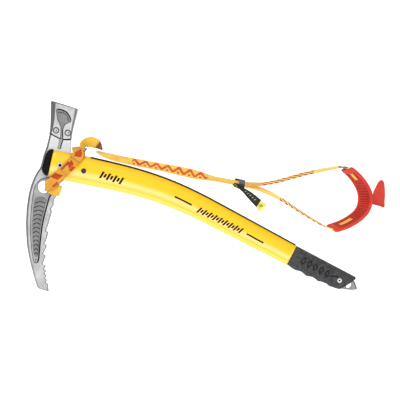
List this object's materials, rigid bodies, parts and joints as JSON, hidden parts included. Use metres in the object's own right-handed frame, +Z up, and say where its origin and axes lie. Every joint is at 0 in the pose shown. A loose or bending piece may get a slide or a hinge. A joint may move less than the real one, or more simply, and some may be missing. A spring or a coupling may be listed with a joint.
{
  "type": "ice axe",
  "caption": "Mountaineering ice axe with toothed pick, hammer head, bent oval shaft, rubber grip, spike and a webbing wrist leash with a ribbed cuff.",
  "frame": {"origin": "below the middle of the whole axe and leash, level with the lowest point of the pick tip", "axes": "+X from the pick towards the spike end and the wrist cuff, +Y square to the axe's flat side, +Z up towards the hammer face"},
  "size_m": [0.5094, 0.0284, 0.2698],
  "materials": {
    "steel": "satin forged, darker bevels",
    "shaft_paint": "gloss yellow",
    "black_plastic": "matt",
    "rivet_steel": "polished",
    "rivet_dark": "dark",
    "grip_rubber": "fine texture",
    "webbing": "woven, red pattern",
    "ribbon_black": "woven, pale marks",
    "ribbon_yellow": "woven",
    "cuff_rubber": "ribbed"
  },
  "bodies": {
    "axe": {"head": "steel", "shaft_tube": "shaft_paint", "nose_cheek_near": "black_plastic", "nose_cheek_far": "black_plastic", "head_rivet_front": "rivet_steel", "head_rivet_rear": "rivet_dark", "spine_strip": "black_plastic", "grip": "grip_rubber", "spike_sleeve": "black_plastic", "spike": "steel", "spike_rivet": "rivet_steel", "hitch_sling": "webbing", "hitch_wrap": "webbing", "strap_bight": "webbing", "hitch_tail": "webbing"},
    "strap_root": {"strap_root": "webbing"},
    "strap_main": {"strap_main": "webbing"},
    "keeper": {"keeper": "black_plastic"},
    "pull_tab": {"keeper_pull_tab": "ribbon_black", "pull_tab_end": "ribbon_yellow"},
    "wrist_loop": {"loop_upper_strap": "webbing", "loop_lower_strap": "webbing", "cuff": "cuff_rubber", "cuff_strap": "webbing"},
    "fin": {"cuff_fin": "cuff_rubber"}
  },
  "joints": [
    {"name": "leash_lift", "type": "hinge", "parent": "axe", "child": "strap_root", "pos_m": [-0.14304, 0, 0.1929], "axis": [0, -1, 0], "range_deg": [0, 95]},
    {"name": "leash_swing", "type": "hinge", "parent": "strap_root", "child": "strap_main", "pos_m": [-0.11925, 0, 0.18684], "axis": [-0.1284, -0.809, -0.5736], "range_deg": [-5, 75]},
    {"name": "keeper_slide", "type": "slide", "parent": "strap_main", "child": "keeper", "axis": [-0.983, 0, 0.1838], "range_m": [0, 0.034]},
    {"name": "tab_flap", "type": "hinge", "parent": "keeper", "child": "pull_tab", "pos_m": [0.04837, -0.0116, 0.14531], "axis": [-0.4329, -0.4638, -0.773], "range_deg": [-14, 12]},
    {"name": "loop_bend", "type": "hinge", "parent": "strap_main", "child": "wrist_loop", "pos_m": [0.05857, 0, 0.15077], "axis": [-0.0748, -0.9135, -0.3998], "range_deg": [-5, 60]},
    {"name": "fin_flex", "type": "hinge", "parent": "wrist_loop", "child": "fin", "pos_m": [0.22817, 0.00379, 0.12874], "axis": [0, 0, 1], "range_deg": [-35, 30]}
  ]
}
